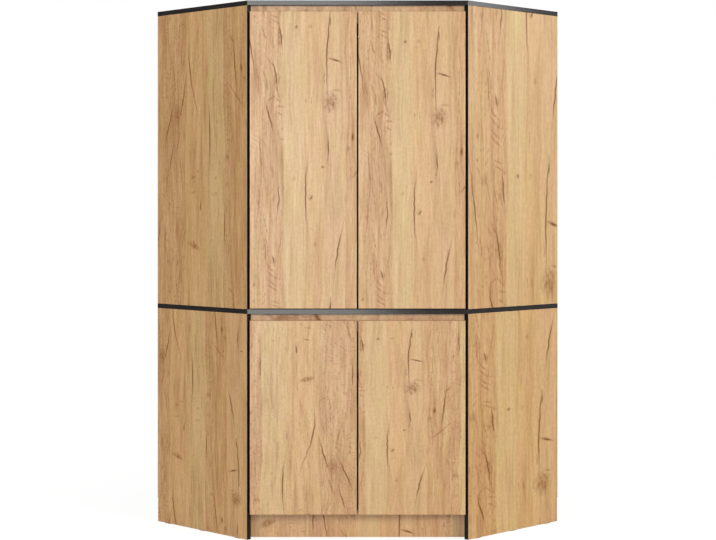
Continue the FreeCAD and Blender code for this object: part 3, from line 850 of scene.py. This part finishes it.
# Lines from drawing and pressing steel. Real ones are finer; these are drawn at 2 mm so that they show.
FINE = 1 / (2 * MM)
COARSE = 1 / (30 * MM)
LINE_BUMP = {"Strength": 0.05, "Distance": 0.1 * MM}
LINE_TINT = 0.06


def plated(name, colour, low, high, along):
    """Plated steel with fine lines that run one way."""

    def links(tree):
        where = add(tree, COORDS).outputs["Object"]
        stretched = add(tree, VECTOR, {0: where, 1: along}, operation="MULTIPLY")
        lines = add(tree, NOISE, {"Vector": stretched, "Scale": 1.0, "Detail": 3.0})
        gloss = add(tree, RANGE, {"Value": lines, **ONE_NOISE, "To Min": low, "To Max": high})
        double = add(tree, MATH, {0: lines, 1: 2.0}, operation="MULTIPLY")
        bump = add(tree, "ShaderNodeBump", {"Height": lines, **LINE_BUMP})
        return {"Roughness": gloss, "Normal": bump, "Base Color": tinted(tree, double, colour, LINE_TINT)}

    return shade(name, {"Metallic": 1.0}, links)


class WARDROBE_OT_fittings(bpy.types.Operator):
    """Dress hinges, brackets, hanging rail, caps, glides and bumpers"""
    bl_idname = "wardrobe.fittings"
    bl_label = "Fittings"

    def execute(self, context):
        finish = context.scene.wardrobe.finish
        # Pressed steel, barrel plated with nickel: grey, softly shining, with faint press lines.
        nickel = plated("nickel_plated_steel", finish.nickel, low=0.24, high=0.36, along=(FINE, FINE, COARSE))
        # Drawn steel tube, satin chromed: a soft bright band with fine lines along it.
        chrome = plated("chromed_steel_tube", finish.chrome, low=0.2, high=0.28, along=(COARSE, FINE, FINE))
        # Moulded polypropylene: matt, with a spark-eroded skin.
        plastic = grained("moulded_black_polypropylene", finish.plastic, spread=0.1, grain=1.5,
                          low=0.48, high=0.62, IOR=1.49)
        # Soft clear polyurethane, cast in domes: milky, a little shiny.
        rubber = grained("cast_clear_polyurethane", finish.rubber, spread=0.04, grain=1.5,
                         low=0.2, high=0.3, IOR=1.5, Transmission_Weight=0.25)
        for slot, material in (("nickel_steel", nickel), ("chromed_tube", chrome),
                               ("black_plastic", plastic), ("clear_rubber", rubber)):
            for node in nodes_of(slot):
                dress(node, material)
        return {"FINISHED"}


# Places of the screws and nails, in millimetres, on the fittings that they hold. A place in the
# walls' frame gives the distance from the left wall, the distance from the right wall and the height.
WALL_LEG = 1110
SIDE_DEPTH = 532
BOARD = 18
BACK_SHEET = 3
INNER_FACE = WALL_LEG - BOARD
POST_FACE = BACK_SHEET + BOARD
CORNER_Y = CAD_BOX[1].y / MM
ROOT_TWO = math.sqrt(2)
INTO_ROOM_FROM_SIDE = Vector((1, 1, 0)).normalized()
INTO_ROOM_FROM_POST = Vector((1, -1, 0)).normalized()
OUT_OF_LEFT_WALL = Vector((-1, 1, 0)).normalized()
DOWN = Vector((0, 0, -1))
BACKWARD = Vector((0, 1, 0))

# Hinges on each door of a section, and how far the outer ones are from the door's ends.
HINGES = {"lower": 2, "upper": 3}
HINGE_INSET = 110

CUP_SCREW_IN = 26
CUP_SCREW_RISE = 22.75
CUP_FLANGE = 1.2
PLATE_SCREW_BEHIND = 37
PLATE_SCREW_RISE = 17
PLATE_WING = 2.5
ARM_SCREWS_BEHIND = (27, 51)
ARM_TOP = 14
SHELF_ANGLES_ALONG = (60, SIDE_DEPTH - 170)
ANGLE_THICK = 2
ANGLE_SCREW = 13
POST_ANGLE_ALONG = 63
WALL_BRACKET_OUT = 29
WALL_BRACKET_SCREW = 11
WALL_BRACKET_THICK = 2
HANGER_HALF = 24
HANGER_PLATE = 3
HANGER_SCREW_ACROSS = 15.5
HANGER_SCREW_ALONG = 13
NAIL_FROM_CORNER = 43
NAIL_FROM_FRONT = 9
NAIL_FROM_END = 20

# In degrees: how much further each head is turned than the last, and from where an edge is sharp.
SCREW_TURN = 37
SHARP_EDGE = 40

# Rings of a round head, each as a share of its radius and of its height.
SCREW_RING_SHARES = ((1.0, 0.0), (1.0, 0.35), (0.93, 0.68), (0.74, 0.92), (0.4, 1.0))
NAIL_RING_SHARES = ((1.0, -0.5), (1.0, 0.4), (0.8, 0.8), (0.4, 1.0))
CROSS_REACH_SHARE = 0.62
CROSS_TOP_SHARE = 1.2
CROSS_FLOOR_SHARE = 0.7


def from_walls(off_left, off_right, level):
    """A place in metres from its distances off the walls."""
    x = (off_left - off_right) / ROOT_TWO
    y = CORNER_Y - (off_left + off_right) / ROOT_TWO
    return Vector((x, y, level)) * MM


def round_head(name, ring_shares, radius, height, sides):
    """A round head that stands on the origin and points up."""
    made = bmesh.new()
    rings = []
    for wide, tall in ring_shares:
        ring = []
        for i in range(sides):
            turn = 2 * math.pi * i / sides
            ring.append(made.verts.new((wide * radius * math.cos(turn), wide * radius * math.sin(turn),
                                        tall * height)))
        rings.append(ring)
    for lower, upper in zip(rings, rings[1:]):
        for i in range(sides):
            after = (i + 1) % sides
            made.faces.new((lower[i], lower[after], upper[after], upper[i]))
    made.faces.new(rings[-1])
    made.faces.new(list(reversed(rings[0])))
    return mesh_of(name, made)


def screw_mesh(fastener):
    """One pan-head screw head with a cross recess, standing on the origin and pointing up."""
    mesh = round_head("screw_head_blank", SCREW_RING_SHARES, fastener.head_radius, fastener.head_height,
                      fastener.sides)
    head = placed("screw_head_blank", mesh)
    recess = placed("screw_cross", cross_mesh(fastener))
    carve = head.modifiers.new("cross", "BOOLEAN")
    carve.object = recess
    carve.solver = "EXACT"
    bpy.context.view_layer.update()
    carved = bpy.data.meshes.new_from_object(head.evaluated_get(bpy.context.evaluated_depsgraph_get()))
    for thing in (head, recess):
        bpy.data.objects.remove(thing)
    return carved


def cross_mesh(fastener):
    """The cutter of a cross recess: two tapered bars."""
    made = bmesh.new()
    reach = CROSS_REACH_SHARE * fastener.head_radius
    half = fastener.slot_width / 2
    top = CROSS_TOP_SHARE * fastener.head_height
    floor = fastener.head_height - fastener.slot_depth
    outline = ((half, half), (half, reach), (-half, reach), (-half, half), (-reach, half), (-reach, -half),
               (-half, -half), (-half, -reach), (half, -reach), (half, -half), (reach, -half), (reach, half))
    upper = [made.verts.new((x, y, top)) for x, y in outline]
    lower = [made.verts.new((CROSS_FLOOR_SHARE * x, CROSS_FLOOR_SHARE * y, floor)) for x, y in outline]
    made.faces.new(upper)
    made.faces.new(list(reversed(lower)))
    for i in range(len(outline)):
        after = (i + 1) % len(outline)
        made.faces.new((lower[i], lower[after], upper[after], upper[i]))
    bmesh.ops.recalc_face_normals(made, faces=made.faces)
    return mesh_of("screw_cross", made)


def scatter(name, blank, spots, body="carcass"):
    """One nickel-plated piece that holds a copy of a small mesh at each spot, each turned further
    than the last."""
    made = bmesh.new()
    for i, (where, outward) in enumerate(spots):
        turn = outward.to_track_quat("Z", "Y").to_matrix().to_4x4()
        spin = Matrix.Rotation(math.radians(SCREW_TURN * i), 4, "Z")
        copy = blank.copy()
        copy.transform(Matrix.Translation(where) @ turn @ spin)
        made.from_mesh(copy)
        bpy.data.meshes.remove(copy)
    mesh = mesh_of(name, made)
    mesh.shade_smooth()
    mesh.set_sharp_from_angle(angle=math.radians(SHARP_EDGE))
    mesh.materials.append(bpy.data.materials["nickel_plated_steel"])
    piece = placed(name, mesh)
    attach(piece, body)


def mirrored(spots):
    """The same spots on the right half."""
    flip = Vector((-1, 1, 1))
    return [(where * flip, outward * flip) for where, outward in spots]


class WARDROBE_OT_screws(bpy.types.Operator):
    """Set the screws of hinges, brackets and rail hangers"""
    bl_idname = "wardrobe.screws"
    bl_label = "Screws"

    def execute(self, context):
        fastener = context.scene.wardrobe.fastener
        blank = screw_mesh(fastener)
        plate_spots = []
        arm_spots = []
        for section, count in HINGES.items():
            low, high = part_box(section + "_left_door")
            lowest = low.z / MM + HINGE_INSET
            step = (high.z / MM - HINGE_INSET - lowest) / (count - 1)
            cup_spots = []
            for level in [lowest + step * i for i in range(count)]:
                for side in (-1, 1):
                    flange = Vector((low.x + CUP_SCREW_IN * MM, high.y + CUP_FLANGE * MM,
                                     (level + side * CUP_SCREW_RISE) * MM))
                    cup_spots.append((flange, BACKWARD))
                    wing = from_walls(SIDE_DEPTH - PLATE_SCREW_BEHIND, INNER_FACE - PLATE_WING,
                                      level + side * PLATE_SCREW_RISE)
                    plate_spots.append((wing, INTO_ROOM_FROM_SIDE))
                for behind in ARM_SCREWS_BEHIND:
                    arm_spots.append((from_walls(SIDE_DEPTH - behind, INNER_FACE - ARM_TOP, level),
                                      INTO_ROOM_FROM_SIDE))
            for hand, spots in (("left", cup_spots), ("right", mirrored(cup_spots))):
                door = "%s_%s_door" % (section, hand)
                scatter(door + "_cup_screws", blank, spots, door)
        for name, spots in (("hinge_plate_screws", plate_spots), ("hinge_arm_screws", arm_spots)):
            scatter(name, blank, spots + mirrored(spots))
        self.brackets(blank)
        return {"FINISHED"}

    def brackets(self, blank):
        """Screws of the shelf brackets, the wall brackets and the rail hangers."""
        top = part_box("shelf_brackets")[1].z / MM
        under = top - ANGLE_THICK
        leg_level = top - ANGLE_SCREW
        spots = []
        for along in SHELF_ANGLES_ALONG:
            spots.append((from_walls(along, INNER_FACE - ANGLE_THICK, leg_level), INTO_ROOM_FROM_SIDE))
            spots.append((from_walls(along, INNER_FACE - ANGLE_SCREW, under), DOWN))
        spots.append((from_walls(POST_FACE + ANGLE_THICK, POST_ANGLE_ALONG, leg_level), INTO_ROOM_FROM_POST))
        spots.append((from_walls(POST_FACE + ANGLE_SCREW, POST_ANGLE_ALONG, under), DOWN))
        scatter("shelf_bracket_screws", blank, spots + mirrored(spots))
        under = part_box("wall_brackets")[1].z / MM - WALL_BRACKET_THICK
        spots = [(from_walls(WALL_BRACKET_OUT, WALL_LEG / 2 + side * WALL_BRACKET_SCREW, under), DOWN)
                 for side in (-1, 1)]
        scatter("wall_bracket_screws", blank, spots + mirrored(spots))
        low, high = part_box("rail_hangers")
        middle = Vector((low.x + HANGER_HALF * MM, (low.y + high.y) / 2, high.z - HANGER_PLATE * MM))
        spots = [(middle + Vector((x, y, 0)) * MM, DOWN)
                 for x in (-HANGER_SCREW_ACROSS, HANGER_SCREW_ACROSS)
                 for y in (-HANGER_SCREW_ALONG, HANGER_SCREW_ALONG)]
        scatter("rail_hanger_screws", blank, spots + mirrored(spots))


class WARDROBE_OT_back_nails(bpy.types.Operator):
    """Nail the back sheets to the sides and posts"""
    bl_idname = "wardrobe.back_nails"
    bl_label = "Back nails"

    def execute(self, context):
        fastener = context.scene.wardrobe.fastener
        blank = round_head("nail_head", NAIL_RING_SHARES, fastener.nail_radius, fastener.nail_height,
                           fastener.sides)
        spots = []
        for section in ("lower", "upper"):
            low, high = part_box(section + "_left_back")
            count = round((high.z - low.z) / fastener.nail_step)
            lowest = low.z / MM + NAIL_FROM_END
            step = (high.z / MM - NAIL_FROM_END - lowest) / count
            for i in range(count + 1):
                for off_right in (NAIL_FROM_CORNER, WALL_LEG - NAIL_FROM_FRONT):
                    spots.append((from_walls(0, off_right, lowest + step * i), OUT_OF_LEFT_WALL))
        scatter("back_nails", blank, spots + mirrored(spots))
        return {"FINISHED"}


class Lamp(NamedTuple):
    """A flat lamp: where it stands, the place that it faces, and its width and height, in metres."""
    where: tuple
    target: tuple
    size: tuple


LAMPS = {
    "key_light": Lamp((14.7, -11.3, 5.8), (0, -0.3, 0.9), (6.0, 4.0)),
    "fill_light": Lamp((-14.7, -11.3, 5.8), (0, -0.3, 0.9), (6.0, 4.0)),
    "left_card": Lamp((-1.9, -7.6, 1.8), (-1.9, 0, 1.8), (4.2, 3.6)),
    "right_card": Lamp((6.0, -1.2, 3.05), (0, -1.2, 3.05), (2.6, 2.6)),
}
# The grey flag's middle and half size, in metres.
FLAG_PLACE = (-3.2, -0.6, 2.0)
FLAG_HALF = 3.0
# The camera's sensor in millimetres, and how far it sees in metres.
SENSOR_WIDTH = 36
VIEW_END = 100
# The floor as it lights the object, and as it is seen: plain white with a faint shadow.
FLOOR_PAPER = {"To Min": 0.9, "To Max": 0.3}
FLOOR_GLOW = {"To Min": 0.0, "To Max": 0.85}


class WARDROBE_OT_stage(bpy.types.Operator):
    """Set up the white floor, the lights and the camera"""
    bl_idname = "wardrobe.stage"
    bl_label = "Stage"

    def execute(self, context):
        stage = context.scene.wardrobe.stage
        context.scene.view_settings.view_transform = "Standard"
        self.floor(stage)
        self.surroundings(context, stage)
        key = self.lamp("key_light", stage.key_power)
        fill = self.lamp("fill_light", stage.fill_power)
        fill.data.color = stage.fill_tint
        for no_shine in (key, fill):
            no_shine.visible_glossy = False
        card = self.lamp("left_card", stage.card_power)
        side = self.lamp("right_card", stage.side_power)
        for only_shine in (card, side):
            only_shine.visible_diffuse = False
        self.flag(stage)
        self.camera(context, stage)
        return {"FINISHED"}

    def flag(self, stage):
        """A grey cloth on the left, seen only in reflections, keeps white off the left side."""
        made = bmesh.new()
        bmesh.ops.create_grid(made, x_segments=6, y_segments=4, size=FLAG_HALF)
        mesh = mesh_of("left_flag", made)
        flag = placed("left_flag", mesh)
        flag.location = FLAG_PLACE
        flag.rotation_euler = (0, math.radians(90), 0)
        flag.visible_camera = False
        flag.visible_diffuse = False
        flag.visible_shadow = False
        # Woven cotton hung flat: dull, with no gloss of its own.
        material, tree = bare_material("grey_studio_cloth")
        cloth = add(tree, "ShaderNodeBsdfDiffuse", {"Color": (*stage.flag_grey, 1)})
        add(tree, "ShaderNodeOutputMaterial", {"Surface": cloth})
        mesh.materials.append(material)

    def floor(self, stage):
        """A white paper floor that melts into the surroundings but keeps a faint shadow."""
        made = bmesh.new()
        bmesh.ops.create_grid(made, x_segments=8, y_segments=8, size=stage.floor_half)
        mesh = mesh_of("studio_floor", made)
        floor = placed("studio_floor", mesh)
        # Rolled white background paper: even and dull.
        material, tree = bare_material("white_studio_floor")
        seen = self.seen(tree)
        paper = add(tree, RANGE, {"Value": seen, **FLOOR_PAPER})
        glow = add(tree, RANGE, {"Value": seen, **FLOOR_GLOW})
        lit = add(tree, "ShaderNodeBsdfDiffuse", {"Color": paper})
        white = add(tree, "ShaderNodeEmission", {"Strength": glow})
        floor_look = add(tree, "ShaderNodeAddShader", {0: lit, 1: white})
        add(tree, "ShaderNodeOutputMaterial", {"Surface": floor_look})
        mesh.materials.append(material)

    def seen(self, tree):
        """1 on rays that show the background: from the camera, off gloss and through glass."""
        path = add(tree, "ShaderNodeLightPath")
        shown = add(tree, MATH, {0: path.outputs["Is Camera Ray"], 1: path.outputs["Is Glossy Ray"]},
                    operation="MAXIMUM")
        return add(tree, MATH, {0: shown, 1: path.outputs["Is Transmission Ray"]}, operation="MAXIMUM")

    def surroundings(self, context, stage):
        """White surroundings that light the object softly and are seen as plain white."""
        world = bpy.data.worlds.new("white_studio")
        world.use_nodes = True
        tree = world.node_tree
        tree.nodes.clear()
        strength = add(tree, RANGE, {"Value": self.seen(tree), "To Min": stage.ambient, "To Max": 1.0})
        back = add(tree, "ShaderNodeBackground", {"Color": (1, 1, 1, 1), "Strength": strength})
        add(tree, "ShaderNodeOutputWorld", {"Surface": back})
        context.scene.world = world

    def lamp(self, name, power):
        """One flat lamp, which the camera doesn't see."""
        where, target, size = LAMPS[name]
        light = bpy.data.lights.new(name, "AREA")
        light.shape = "RECTANGLE"
        light.size, light.size_y = size
        light.energy = power
        lamp = placed(name, light)
        lamp.location = where
        lamp.rotation_euler = (Vector(target) - Vector(where)).to_track_quat("-Z", "Y").to_euler()
        lamp.visible_camera = False
        return lamp

    def camera(self, context, stage):
        """A level camera straight in front, with a shifted lens."""
        data = bpy.data.cameras.new("photo_camera")
        data.sensor_fit = "HORIZONTAL"
        data.sensor_width = SENSOR_WIDTH
        data.lens = stage.lens
        data.shift_x = stage.slide
        data.shift_y = stage.rise
        data.clip_end = VIEW_END
        camera = placed("photo_camera", data)
        camera.location = (0, -stage.distance, stage.eye)
        camera.rotation_euler = (math.radians(90), 0, 0)
        context.scene.camera = camera


OPERATORS = (WARDROBE_OT_oak_boards, WARDROBE_OT_black_boards, WARDROBE_OT_back_sheets,
             WARDROBE_OT_fittings, WARDROBE_OT_screws, WARDROBE_OT_back_nails, WARDROBE_OT_stage)


class WARDROBE_PT_finishes(bpy.types.Panel):
    """Finishes of the corner wardrobe"""
    bl_idname = "WARDROBE_PT_finishes"
    bl_label = "Corner wardrobe"
    bl_space_type = "VIEW_3D"
    bl_region_type = "UI"
    bl_category = "Wardrobe"

    def draw(self, context):
        for operator in OPERATORS:
            self.layout.operator(operator.bl_idname)


CLASSES = (OakDecorSettings, FinishSettings, FastenerSettings, StageSettings, WardrobeSettings,
           *OPERATORS, WARDROBE_PT_finishes)


def register():
    for kind in CLASSES:
        bpy.utils.register_class(kind)
    bpy.types.Scene.wardrobe = PointerProperty(type=WardrobeSettings)


def unregister():
    del bpy.types.Scene.wardrobe
    for kind in reversed(CLASSES):
        bpy.utils.unregister_class(kind)


def main():
    register()
    bpy.ops.wardrobe.oak_boards()
    bpy.ops.wardrobe.black_boards()
    bpy.ops.wardrobe.back_sheets()
    bpy.ops.wardrobe.fittings()
    bpy.ops.wardrobe.screws()
    bpy.ops.wardrobe.back_nails()
    bpy.ops.wardrobe.stage()


if __name__ == "__main__":
    main()
